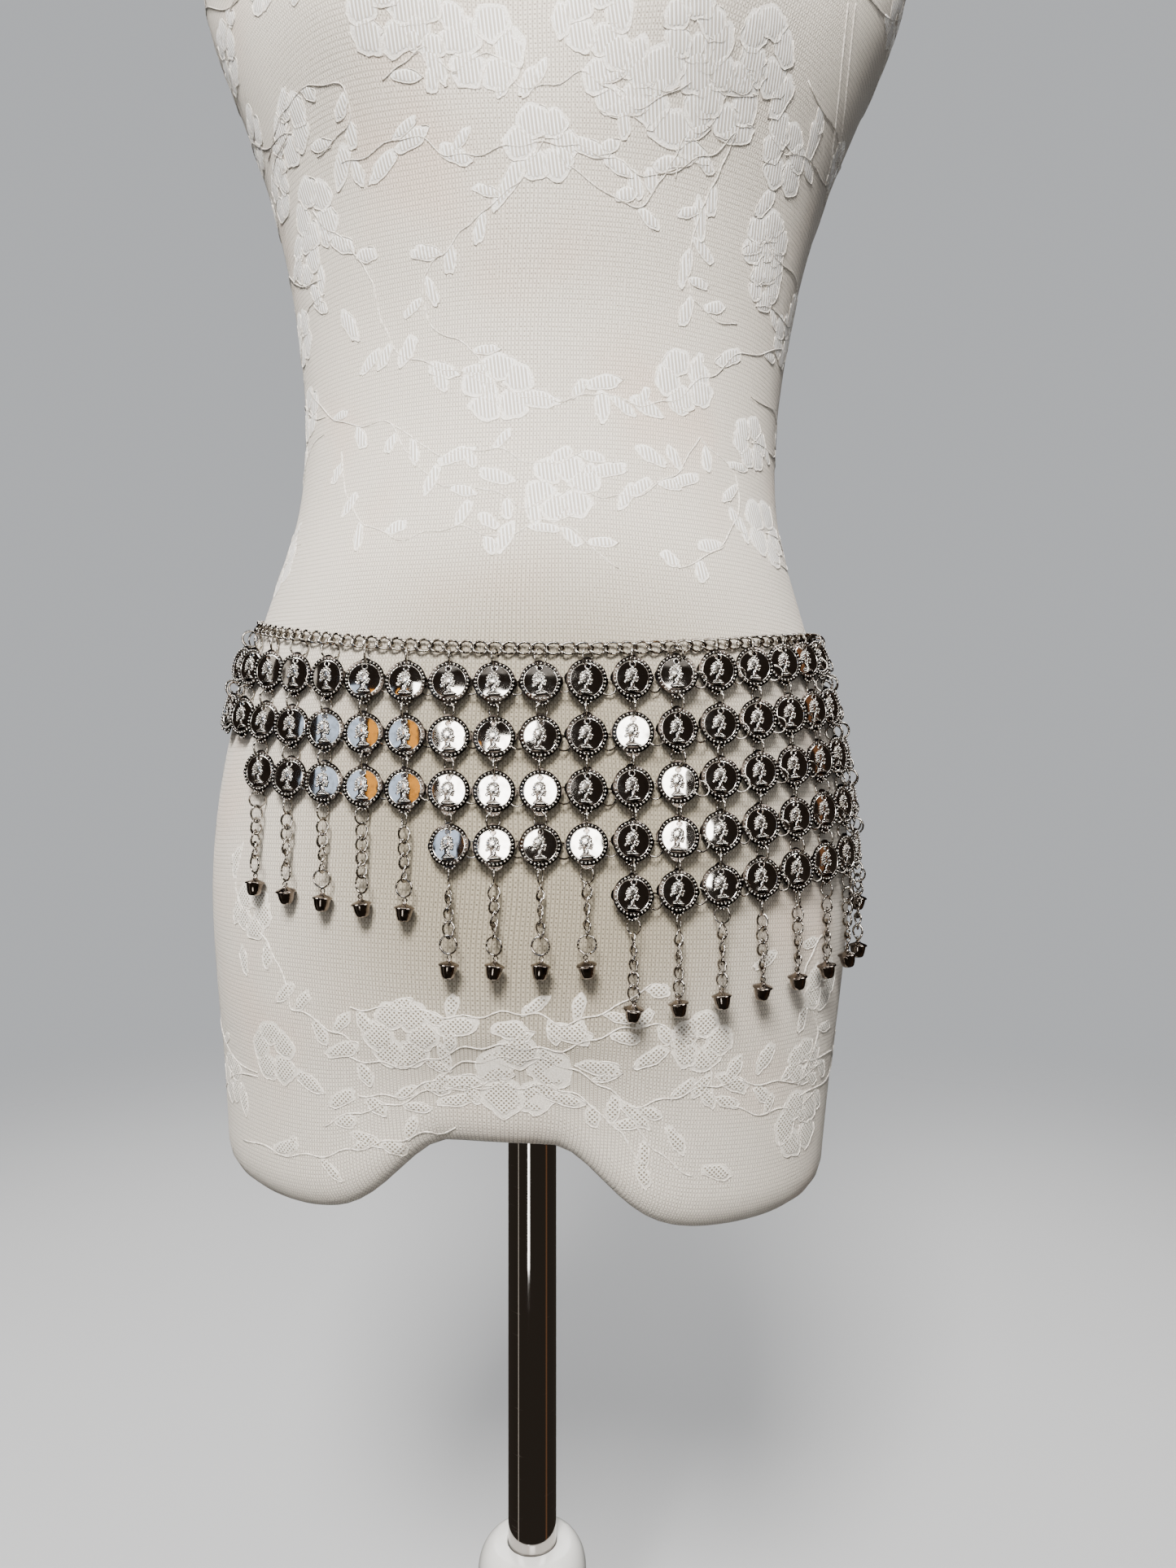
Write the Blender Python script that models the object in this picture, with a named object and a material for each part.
"""Coin waist chain on a limbless dress form.

A curb chain closes round the form with a lobster clasp. Thirty-six columns of domed coins hang from
it in sections of two, three, four and five rows, joined by jump rings. Each column of three rows or
more ends in a short drop of chain with a small bell. The form stands on a chrome pole, a collar and
a round foot.
Metres, +Z up, origin at the centre of the foot's underside.
"""

import math

import bmesh
import bpy
import numpy as np
from mathutils import Vector

for leftover in list(bpy.data.objects):
    bpy.data.objects.remove(leftover, do_unlink=True)

# Common sizes
MM = 0.001
GAP = 0.3 * MM              # clearance that touching pieces keep
HIP_Z = 560 * MM            # hip line of the form above the floor
FORM_TURN = math.radians(-4.6)
FORM_LEAN = math.tan(math.radians(1.4))   # the form leans to +X, so its +X side is lower

# Dress form, levels measured from the hip line
FORM_POWER = 2.18           # 2 is an ellipse, more is squarer
FORM_SIDES = 40
FORM_SECTIONS_MM = (
    # level, half_width, front, back
    (-180, 152, 90, 102),
    (-140, 155, 94, 107),
    (-100, 159, 100, 113),
    (-50, 162, 104, 118),
    (0, 158, 104, 118),
    (50, 147, 103, 111),
    (90, 134, 98, 99),
    (130, 123, 88, 85),
    (172, 120.5, 80, 77),
    (213, 124, 80, 78),
    (255, 131, 88, 84),
    (296, 142, 96, 90),
    (338, 158, 98, 94),
    (379, 175, 96, 95),
    (420, 184, 92, 93),
    (470, 187, 83, 89),
    (515, 181, 72, 81),
    (543, 160, 63, 73),
    (566, 120, 56, 66),
    (585, 81, 51, 60),
    (605, 60, 48, 56),
    (632, 54, 46, 54),
    (665, 53, 45, 53),
)
BUST_X = 78 * MM
BUST_LEVEL = 346 * MM
BUST_OUT = 22 * MM
BUST_WIDTH = 44 * MM
BUST_HEIGHT = 48 * MM
FORM_RING_STEP = 29 * MM
STUB_START = -110 * MM      # below this level the wall is drawn up into the arch
STUB_EDGE = -180 * MM       # the wall ends here and rounds under
STUB_ROUND = 20 * MM
ARCH_RISE = 40 * MM
ARCH_FLAT = 22 * MM         # half of the level strip that the pole meets
ARCH_SLOPE = 34 * MM
UNDER_RINGS = (0.72, 0.5, 0.3, 0.14)

# Stand
POLE_RADIUS = 12.5 * MM
POLE_SIDES = 32
COLLAR_TOP = 167 * MM
COLLAR_SOCKET = 22 * MM
COLLAR_PROFILE_MM = (
    # radius, drop below the collar's top
    (18.5, 0.4),
    (23.5, 3.2),
    (26.8, 8.5),
    (28.0, 15.0),
    (28.0, 24.0),
    (25.5, 32.0),
    (20.0, 38.0),
    (16.0, 40.0),
)
COLLAR_SIDES = 28
TUBE_RADIUS = 16 * MM
FOOT_RADIUS = 150 * MM
FOOT_THICKNESS = 14 * MM
FOOT_EDGE = 5 * MM
FOOT_CROWN = 6 * MM
FOOT_HUB_RADIUS = 30 * MM
FOOT_SIDES = 48

# Belt
COLUMN_PITCH = 19.45 * MM
FIRST_COLUMN_ARC = -215.5 * MM   # of the first two-row column, from the form's front
SECTIONS = (
    # rows of coins, columns
    (2, 5),
    (3, 5),
    (4, 4),
    (5, 8),
    (4, 4),
    (3, 5),
    (2, 5),
)
ROWS_WITHOUT_DROP = 2
ROW_PITCH = 22.8 * MM
FIRST_ROW_LEVEL = 42.5 * MM    # at the front
CHAIN_LEVEL = 57.5 * MM        # at the front
SIDE_RISE = 18.5 * MM          # how much higher the belt lies at the sides
BACK_RISE = 12 * MM
CHAIN_LEAN = 4.5 / 140         # the chain lies higher on the -X side
COIN_RADIUS = 8.9 * MM
COIN_THICKNESS = 1.2 * MM
COIN_STANDOFF = 4.8 * MM       # the rings hold the coins this far off the form
LUG_REACH = 10.3 * MM
LUG_HALF = 2.6 * MM
SIDE_LUG_REACH = 9.7 * MM
RING_WIRE = 1.1 * MM
RING_DEPTH = 8.0 * MM
LINK_PITCH = 6.2 * MM
LINK_WIDTH = 6.4 * MM
LINK_THICKNESS = 1.6 * MM
NECK_WIDTH = 4.4 * MM
NECK_THICKNESS = 2.4 * MM
CHAIN_STANDOFF = GAP + NECK_THICKNESS / 2
DROP_STATIONS_MM = (
    # drop below the last coin's centre, width, depth
    (13.0, 1.1, 7.0),
    (16.8, 1.8, 1.8),
    (19.9, 6.0, 1.6),
    (23.0, 1.8, 1.8),
    (26.1, 6.0, 1.6),
    (29.2, 1.8, 1.8),
    (32.3, 6.0, 1.6),
    (35.2, 1.6, 1.6),
    (39.6, 8.2, 1.1),
    (44.4, 1.4, 1.4),
    (47.6, 1.4, 1.4),
)
LONGEST_ROWS = 5
LONGEST_DROP_SHARE = 0.935  # the drops of the longest columns have no second ring and are shorter
BELL_SIDES = 8
BELL_PROFILE_MM = (
    # drop, radius
    (50.8, 4.4),
    (56.2, 2.4),
)

# Clasp and extension
CLASP_ARC = 571 * MM
CLASP_LENGTH = 15 * MM
CLASP_WIDTH = 7.5 * MM
CLASP_THICKNESS = 2.8 * MM
EXTENSION_LINKS = 9


def material(name, colour, roughness, metallic):
    """Return a Principled material."""
    made = bpy.data.materials.new(name)
    made.use_nodes = True
    shader = made.node_tree.nodes["Principled BSDF"]
    shader.inputs["Base Color"].default_value = (*colour, 1)
    shader.inputs["Roughness"].default_value = roughness
    shader.inputs["Metallic"].default_value = metallic
    made.diffuse_color = (*colour, 1)
    return made


FORM_CLOTH = material("lace_over_jersey", (0.78, 0.74, 0.68), 0.85, 0.0)
CHROME = material("chromed_steel", (0.62, 0.62, 0.62), 0.08, 1.0)
WHITE_PAINT = material("white_paint", (0.82, 0.82, 0.81), 0.35, 0.0)
PLATED_METAL = material("silver_plated_alloy", (0.60, 0.60, 0.62), 0.22, 1.0)


def add_node(name, bm, finish, parent=None):
    """Turn a bmesh into the object of one node, shaded smooth but for its sharp edges."""
    bmesh.ops.recalc_face_normals(bm, faces=bm.faces)
    mesh = bpy.data.meshes.new(name)
    bm.to_mesh(mesh)
    bm.free()
    mesh.shade_smooth()
    mesh.set_sharp_from_angle(angle=math.radians(35))
    mesh.materials.append(finish)
    made = bpy.data.objects.new(name, mesh)
    bpy.context.collection.objects.link(made)
    made.parent = parent
    return made


def skin(bm, loops):
    """Join each loop of points to the next with quads and close both ends."""
    rings = [[bm.verts.new(point) for point in loop] for loop in loops]
    for upper, lower in zip(rings, rings[1:]):
        join_loops(bm, upper, lower)
    bm.faces.new(rings[0])
    bm.faces.new(rings[-1])


def join_loops(bm, upper, lower):
    """Join two rings of the same number of vertices."""
    count = len(upper)
    for i in range(count):
        after = (i + 1) % count
        bm.faces.new((upper[i], upper[after], lower[after], lower[i]))


def circle(radius, z, sides):
    """Return a level ring of points about the Z axis."""
    turns = [math.tau * i / sides for i in range(sides)]
    return [Vector((radius * math.cos(a), radius * math.sin(a), z)) for a in turns]


# Shape of the dress form, in its own turned frame with z = 0 at the hip line

SECTION_ROWS = np.array(FORM_SECTIONS_MM, dtype=float) * MM
SECTION_SLOPES = np.gradient(SECTION_ROWS[:, 1:], SECTION_ROWS[:, 0], axis=0)


def form_section(level):
    """Return half width, front and back depth at a level, on a smooth curve through the table."""
    levels = SECTION_ROWS[:, 0]
    level = min(max(level, levels[0]), levels[-1])
    i = min(max(int(np.searchsorted(levels, level)) - 1, 0), len(levels) - 2)
    span = levels[i + 1] - levels[i]
    s = (level - levels[i]) / span
    start = (2 * s ** 3 - 3 * s ** 2 + 1) * SECTION_ROWS[i, 1:]
    end = (3 * s ** 2 - 2 * s ** 3) * SECTION_ROWS[i + 1, 1:]
    leave = (s ** 3 - 2 * s ** 2 + s) * span * SECTION_SLOPES[i]
    arrive = (s ** 3 - s ** 2) * span * SECTION_SLOPES[i + 1]
    return start + end + leave + arrive


def section_point(level, turn):
    """Return the point of a section at a turn from the front, positive to +X."""
    half_width, front, back = form_section(level)
    side = math.sin(turn)
    ahead = math.cos(turn)
    x = half_width * math.copysign(abs(side) ** (2 / FORM_POWER), side)
    depth = front if ahead > 0 else back
    y = -depth * math.copysign(abs(ahead) ** (2 / FORM_POWER), ahead)
    return x, y


def bust_out(x, level):
    """Return how far the bust stands out of the plain section."""
    across = (abs(x) - BUST_X) / BUST_WIDTH
    along = (level - BUST_LEVEL) / BUST_HEIGHT
    return BUST_OUT * math.exp(-across ** 2 - along ** 2)


def arch_rise(x):
    """Return how far the underside is drawn up between the two thigh stubs."""
    beyond = max(abs(x) - ARCH_FLAT, 0) / ARCH_SLOPE
    return ARCH_RISE * math.exp(-beyond ** 2)


def lean(x, y, level):
    """Lean a point of the upright form to +X."""
    return Vector((x + level * FORM_LEAN, y, level - x * FORM_LEAN))


def outside_value(x, y, z):
    """Return more than 1 outside the form and less than 1 inside it."""
    level = z + x * FORM_LEAN
    across = x - level * FORM_LEAN
    half_width, front, back = form_section(level)
    depth = front if y < 0 else back
    return abs(across / half_width) ** FORM_POWER + abs(y / depth) ** FORM_POWER


def form_loops():
    """Return the form's rings of points from the neck to the middle of the underside."""
    turns = [math.tau * i / FORM_SIDES for i in range(FORM_SIDES)]
    top = FORM_SECTIONS_MM[-1][0] * MM
    rings = round((top - STUB_EDGE) / FORM_RING_STEP)
    levels = [top + (STUB_EDGE - top) * i / rings for i in range(rings + 1)]
    loops = []
    for level in levels:
        loop = []
        for turn in turns:
            x, y = section_point(level, turn)
            if y < 0:
                y -= bust_out(x, level) * min(-y / (0.6 * form_section(level)[1]), 1)
            below = min(level - STUB_START, 0) / (STUB_EDGE - STUB_START)
            loop.append(lean(x, y, level + below * arch_rise(x)))
        loops.append(loop)
    edge = [section_point(STUB_EDGE, turn) for turn in turns]
    half_width = form_section(STUB_EDGE)[0]
    for bend in (30, 60, 90):
        inset = STUB_ROUND * (1 - math.cos(math.radians(bend)))
        drop = STUB_ROUND * math.sin(math.radians(bend))
        loops.append(under_loop(edge, 1 - inset / half_width, drop))
    for scale in UNDER_RINGS:
        loops.append(under_loop(edge, scale * (1 - STUB_ROUND / half_width), STUB_ROUND))
    return loops


def under_loop(edge, scale, drop):
    """Return one ring of the underside."""
    points = [(x * scale, y * scale) for x, y in edge]
    return [lean(x, y, STUB_EDGE + arch_rise(x) - drop) for x, y in points]


# Layout of the belt on the form

def reference_table():
    """Return turns and running lengths of the coins' path at the hip line, from the front."""
    turns = np.linspace(0, math.tau, 1441)
    points = np.array([section_point(0, turn) for turn in turns])
    normals = np.gradient(points, axis=0)
    steps = np.hypot(normals[:, 0], normals[:, 1])
    points[:, 0] += COIN_STANDOFF * -normals[:, 1] / -steps
    points[:, 1] += COIN_STANDOFF * normals[:, 0] / -steps
    lengths = np.hypot(*np.diff(points, axis=0).T)
    return turns, np.concatenate(([0], np.cumsum(lengths)))


REFERENCE_TURNS, REFERENCE_LENGTHS = reference_table()


def turn_at(arc):
    """Return the turn at a running length along the coins' path."""
    return float(np.interp(arc % REFERENCE_LENGTHS[-1], REFERENCE_LENGTHS, REFERENCE_TURNS))


def belt_rise(turn):
    """Return how much higher the belt lies here than at the front."""
    across = math.sin(turn) ** 2
    behind = math.cos(turn) ** 2 if math.cos(turn) < 0 else 0
    return SIDE_RISE * across + BACK_RISE * behind


class HangLine:
    """The vertical plane square to the form in which one column hangs."""

    def __init__(self, turn):
        step = 0.01
        before = Vector(section_point(0, turn - step))
        after = Vector(section_point(0, turn + step))
        along = (after - before).normalized()
        self.foot = Vector((*section_point(0, turn), 0))
        self.right = Vector((along.x, along.y, 0))
        self.out = Vector((along.y, -along.x, 0))
        self.chain_z = CHAIN_LEVEL + belt_rise(turn) - self.foot.x * CHAIN_LEAN
        self.first_z = FIRST_ROW_LEVEL + belt_rise(turn)

    def surface(self, z):
        """Return the form's reach from the foot point, outward, at a height."""
        low, high = -70 * MM, 40 * MM
        for _ in range(24):
            middle = (low + high) / 2
            point = self.foot + self.out * middle
            if outside_value(point.x, point.y, z) < 1:
                low = middle
            else:
                high = middle
        return low

    def drape(self, z):
        """Return the reach of a curtain hung from the chain and pushed out by the form above."""
        steps = max(int((self.chain_z - z) / (8 * MM)), 0) + 1
        heights = np.linspace(self.chain_z, z, steps + 1)
        return max(self.surface(height) for height in heights)

    def hang_point(self, z, standoff=COIN_STANDOFF):
        """Return the place of a piece hung in this plane at a height."""
        return self.foot + self.out * (self.drape(z) + standoff) + Vector((0, 0, z))

    def frame(self, z, standoff):
        """Return the place, down and out directions of a piece centred at a height."""
        half = 9 * MM
        slope = (self.drape(z - half) - self.drape(z + half)) / (2 * half)
        down = (self.out * slope - Vector((0, 0, 1))).normalized()
        out = self.right.cross(-down).normalized()
        if out.dot(self.out) < 0:
            out.negate()
        return self.hang_point(z, 0) + out * standoff, down, out


def column_list():
    """Return the number of rows and the hang line of each column."""
    columns = []
    arc = FIRST_COLUMN_ARC
    for rows, count in SECTIONS:
        for _ in range(count):
            columns.append((rows, HangLine(turn_at(arc))))
            arc += COLUMN_PITCH
    return columns


class Coin:
    """One coin plate with its four lugs, flat and square to the form."""

    def __init__(self, line, row):
        z = line.first_z - row * ROW_PITCH
        self.centre, self.down, self.out = line.frame(z, COIN_STANDOFF)
        self.right = line.right

    def side_limit(self, other, hand, up, face):
        """Return how far the plate may reach towards a neighbour, half the gap from the middle."""
        middle = (self.centre + other.centre) / 2
        toward = (other.centre - self.centre).normalized()
        start = (self.centre - self.down * up + self.out * face - middle).dot(toward)
        return (-GAP / 2 - start) / (self.right * hand).dot(toward)

    def outline(self, face, left, right):
        """Return the plate's outline on one face, clockwise from the top left, between neighbours."""
        diagonal = COIN_RADIUS * math.sqrt(0.5)
        shape = [
            (-LUG_HALF, LUG_REACH),
            (LUG_HALF, LUG_REACH),
            (diagonal, diagonal),
            (SIDE_LUG_REACH, LUG_HALF),
            (SIDE_LUG_REACH, -LUG_HALF),
            (diagonal, -diagonal),
            (LUG_HALF, -LUG_REACH),
            (-LUG_HALF, -LUG_REACH),
            (-diagonal, -diagonal),
            (-SIDE_LUG_REACH, -LUG_HALF),
            (-SIDE_LUG_REACH, LUG_HALF),
            (-diagonal, diagonal),
        ]
        points = []
        for across, up in shape:
            if right:
                across = min(across, self.side_limit(right, 1, up, face))
            if left:
                across = max(across, -self.side_limit(left, -1, up, face))
            points.append(self.centre + self.right * across - self.down * up + self.out * face)
        return points


def rectangle(centre, right, out, width, depth):
    """Return four points: front left, front right, back right, back left."""
    across = right * (width / 2)
    deep = out * (depth / 2)
    return [centre - across + deep, centre + across + deep, centre + across - deep, centre - across - deep]


def add_coin(bm, coin, left, right):
    """Add a coin plate that is open at its top and bottom lug, and return those two openings."""
    half = COIN_THICKNESS / 2
    front = [bm.verts.new(point) for point in coin.outline(half, left, right)]
    back = [bm.verts.new(point) for point in coin.outline(-half, left, right)]
    bm.faces.new(front)
    bm.faces.new(list(reversed(back)))
    count = len(front)
    top_edge, bottom_edge = 0, count // 2
    for i in range(count):
        if i not in (top_edge, bottom_edge):
            after = (i + 1) % count
            bm.faces.new((front[i], back[i], back[after], front[after]))
    top = [front[0], front[1], back[1], back[0]]
    left_end, right_end = bottom_edge + 1, bottom_edge
    bottom = [front[left_end], front[right_end], back[right_end], back[left_end]]
    return top, bottom


def add_station(bm, previous, centre, right, out, width, depth):
    """Join a four-sided opening to a new rectangle and return the rectangle's vertices."""
    ring = [bm.verts.new(point) for point in rectangle(centre, right, out, width, depth)]
    join_loops(bm, previous, ring)
    return ring


def add_bell(bm, neck, line, last_z):
    """Close a drop with its bell: a shallow cone over a tapered cup."""
    rings = []
    for drop, radius in BELL_PROFILE_MM:
        centre = line.hang_point(last_z - drop * MM)
        ring = []
        for i in range(BELL_SIDES):
            turn = math.radians(157.5) - math.tau * i / BELL_SIDES
            reach = line.right * math.cos(turn) + line.out * math.sin(turn)
            ring.append(bm.verts.new(centre + reach * radius * MM))
        rings.append(ring)
    brim, mouth = rings
    for i in range(4):
        after = (i + 1) % 4
        bm.faces.new((neck[i], brim[2 * i], brim[2 * i + 1]))
        bm.faces.new((neck[i], brim[2 * i + 1], brim[2 * after], neck[after]))
    join_loops(bm, brim, mouth)
    bm.faces.new(mouth)


def add_column(name, rows, line, left_coins, right_coins, coins, parent):
    """Build one column: hanging bar, coins with rings between them, drop and bell, in one body."""
    bm = bmesh.new()
    opening = None
    for row, coin in enumerate(coins):
        left = left_coins[row] if row < len(left_coins) else None
        right = right_coins[row] if row < len(right_coins) else None
        top, bottom = add_coin(bm, coin, left, right)
        if opening is None:
            add_hanging_bar(bm, top, coin, line)
        else:
            upper = coins[row - 1]
            middle = (upper.centre + coin.centre) / 2
            out = (upper.out + coin.out).normalized()
            ring = add_station(bm, opening, middle, line.right, out, RING_WIRE, RING_DEPTH)
            join_loops(bm, ring, top)
        opening = bottom
    if rows == ROWS_WITHOUT_DROP:
        bm.faces.new(opening)
    else:
        share = LONGEST_DROP_SHARE if rows == LONGEST_ROWS else 1
        add_drop(bm, opening, line, line.first_z - (rows - 1) * ROW_PITCH, share)
    add_node(name, bm, PLATED_METAL, parent)


def add_drop(bm, opening, line, last_z, share):
    """Hang a ring, links, a second ring and the bell from the last coin's lug."""
    for drop, width, depth in DROP_STATIONS_MM:
        centre = line.hang_point(last_z - drop * share * MM)
        opening = add_station(bm, opening, centre, line.right, line.out, width * MM, depth * MM)
    add_bell(bm, opening, line, last_z + DROP_STATIONS_MM[-1][0] * (1 - share) * MM)


def add_hanging_bar(bm, top, coin, line):
    """Carry the first coin up to the chain with the front of its ring, just off the chain's face."""
    lug_z = coin.centre.z + LUG_REACH
    z = max(line.chain_z, lug_z + RING_WIRE)
    reach = CHAIN_STANDOFF + NECK_THICKNESS / 2 + GAP + RING_WIRE / 2
    centre, _, out = line.frame(line.chain_z, reach)
    centre.z = z
    bar = [bm.verts.new(point) for point in rectangle(centre, line.right, out, RING_WIRE, RING_WIRE)]
    join_loops(bm, bar, top)
    bm.faces.new(bar)


def chain_point(turn):
    """Return a place on the waist chain with its right and out directions."""
    line = HangLine(turn)
    place, _, out = line.frame(line.chain_z, CHAIN_STANDOFF)
    return place, line.right, out


def add_chain(parent):
    """Build the waist chain as one band of alternate flat and turned links, open at the clasp."""
    total = REFERENCE_LENGTHS[-1]
    samples = 180
    arcs = np.linspace(CLASP_ARC, CLASP_ARC + total, samples + 1)
    places = [chain_point(turn_at(arc))[0] for arc in arcs]
    lengths = np.array([0] + [(b - a).length for a, b in zip(places, places[1:])]).cumsum()
    inset = CLASP_LENGTH / 2 + GAP
    links = int((lengths[-1] - 2 * inset) / LINK_PITCH)
    stops = np.interp(np.linspace(inset, lengths[-1] - inset, links + 1), lengths, arcs)
    loops = []
    for i, stop in enumerate(stops):
        place, right, out = chain_point(turn_at(stop))
        up = out.cross(right)
        flat = i % 2 == 0
        height = LINK_WIDTH if flat else NECK_WIDTH
        depth = LINK_THICKNESS if flat else NECK_THICKNESS
        loops.append(rectangle(place, up, out, height, depth))
    bm = bmesh.new()
    skin(bm, loops)
    return add_node("waist_chain", bm, PLATED_METAL, parent)


def add_clasp(parent):
    """Build the lobster clasp lying in the chain's line, and the extension that hangs beside it."""
    place, right, out = chain_point(turn_at(CLASP_ARC))
    place += out * (GAP + (CLASP_THICKNESS - NECK_THICKNESS) / 2)
    up = out.cross(right)
    stations = (
        # place along the clasp, share of its width, share of its thickness
        (-0.5, 0.35, 0.6),
        (-0.32, 0.75, 1.0),
        (0.05, 1.0, 1.0),
        (0.34, 0.85, 1.0),
        (0.5, 0.4, 0.6),
    )
    loops = []
    for along, wide, thick in stations:
        centre = place + right * along * CLASP_LENGTH
        loops.append(rectangle(centre, up, out, wide * CLASP_WIDTH, thick * CLASP_THICKNESS))
    bm = bmesh.new()
    skin(bm, loops)
    add_node("lobster_clasp", bm, PLATED_METAL, parent)

    line = HangLine(turn_at(CLASP_ARC))
    top = line.chain_z - CLASP_WIDTH / 2 - GAP
    loops = []
    for i in range(2 * EXTENSION_LINKS + 1):
        centre = line.hang_point(top - i * LINK_PITCH / 2, COIN_STANDOFF / 2)
        wide = i % 2 == 1
        width = LINK_WIDTH if wide else NECK_THICKNESS
        loops.append(rectangle(centre, line.right, line.out, width, LINK_THICKNESS))
    bm = bmesh.new()
    skin(bm, loops)
    add_node("extension_chain", bm, PLATED_METAL, parent)


def add_belt(parent):
    """Build the whole belt."""
    columns = column_list()
    coins = [[Coin(line, row) for row in range(rows)] for rows, line in columns]
    for i, (rows, line) in enumerate(columns):
        left = coins[i - 1] if i > 0 else []
        right = coins[i + 1] if i + 1 < len(coins) else []
        add_column(f"coin_column_{i + 1:02d}", rows, line, left, right, coins[i], parent)
    add_chain(parent)
    add_clasp(parent)


def add_form(parent):
    """Build the dress form: torso with bust, closed armholes and neck, and two thigh stubs."""
    bm = bmesh.new()
    skin(bm, form_loops())
    return add_node("dress_form", bm, FORM_CLOTH, parent)


def add_stand():
    """Build the pole, its collar, the tube under it and the round foot."""
    pole_top = HIP_Z + STUB_EDGE - STUB_ROUND + ARCH_RISE - GAP - POLE_RADIUS * FORM_LEAN
    pole_bottom = COLLAR_TOP - COLLAR_SOCKET + GAP
    bm = bmesh.new()
    skin(bm, [circle(POLE_RADIUS, z, POLE_SIDES) for z in (pole_bottom, pole_top)])
    add_node("pole", bm, CHROME)

    bore = POLE_RADIUS + GAP
    loops = [circle(bore, COLLAR_TOP - COLLAR_SOCKET, COLLAR_SIDES), circle(bore, COLLAR_TOP, COLLAR_SIDES)]
    for radius, drop in COLLAR_PROFILE_MM:
        loops.append(circle(radius * MM, COLLAR_TOP - drop * MM, COLLAR_SIDES))
    bm = bmesh.new()
    skin(bm, loops)
    add_node("collar", bm, WHITE_PAINT)

    foot_top = FOOT_THICKNESS + FOOT_CROWN
    collar_bottom = COLLAR_TOP - COLLAR_PROFILE_MM[-1][1] * MM
    bm = bmesh.new()
    skin(bm, [circle(TUBE_RADIUS, z, COLLAR_SIDES) for z in (foot_top + GAP, collar_bottom - GAP)])
    add_node("stand_tube", bm, WHITE_PAINT)

    loops = [
        circle(FOOT_RADIUS, 0, FOOT_SIDES),
        circle(FOOT_RADIUS, FOOT_THICKNESS - FOOT_EDGE, FOOT_SIDES),
        circle(FOOT_RADIUS - FOOT_EDGE / 3, FOOT_THICKNESS - FOOT_EDGE / 3, FOOT_SIDES),
        circle(FOOT_RADIUS - FOOT_EDGE, FOOT_THICKNESS, FOOT_SIDES),
        circle(FOOT_HUB_RADIUS, foot_top, FOOT_SIDES),
    ]
    bm = bmesh.new()
    skin(bm, loops)
    add_node("foot", bm, WHITE_PAINT)


form_axis = bpy.data.objects.new("form_axis", None)
form_axis.location = (0, 0, HIP_Z)
form_axis.rotation_euler = (0, 0, FORM_TURN)
bpy.context.collection.objects.link(form_axis)
add_form(form_axis)
add_belt(form_axis)
add_stand()
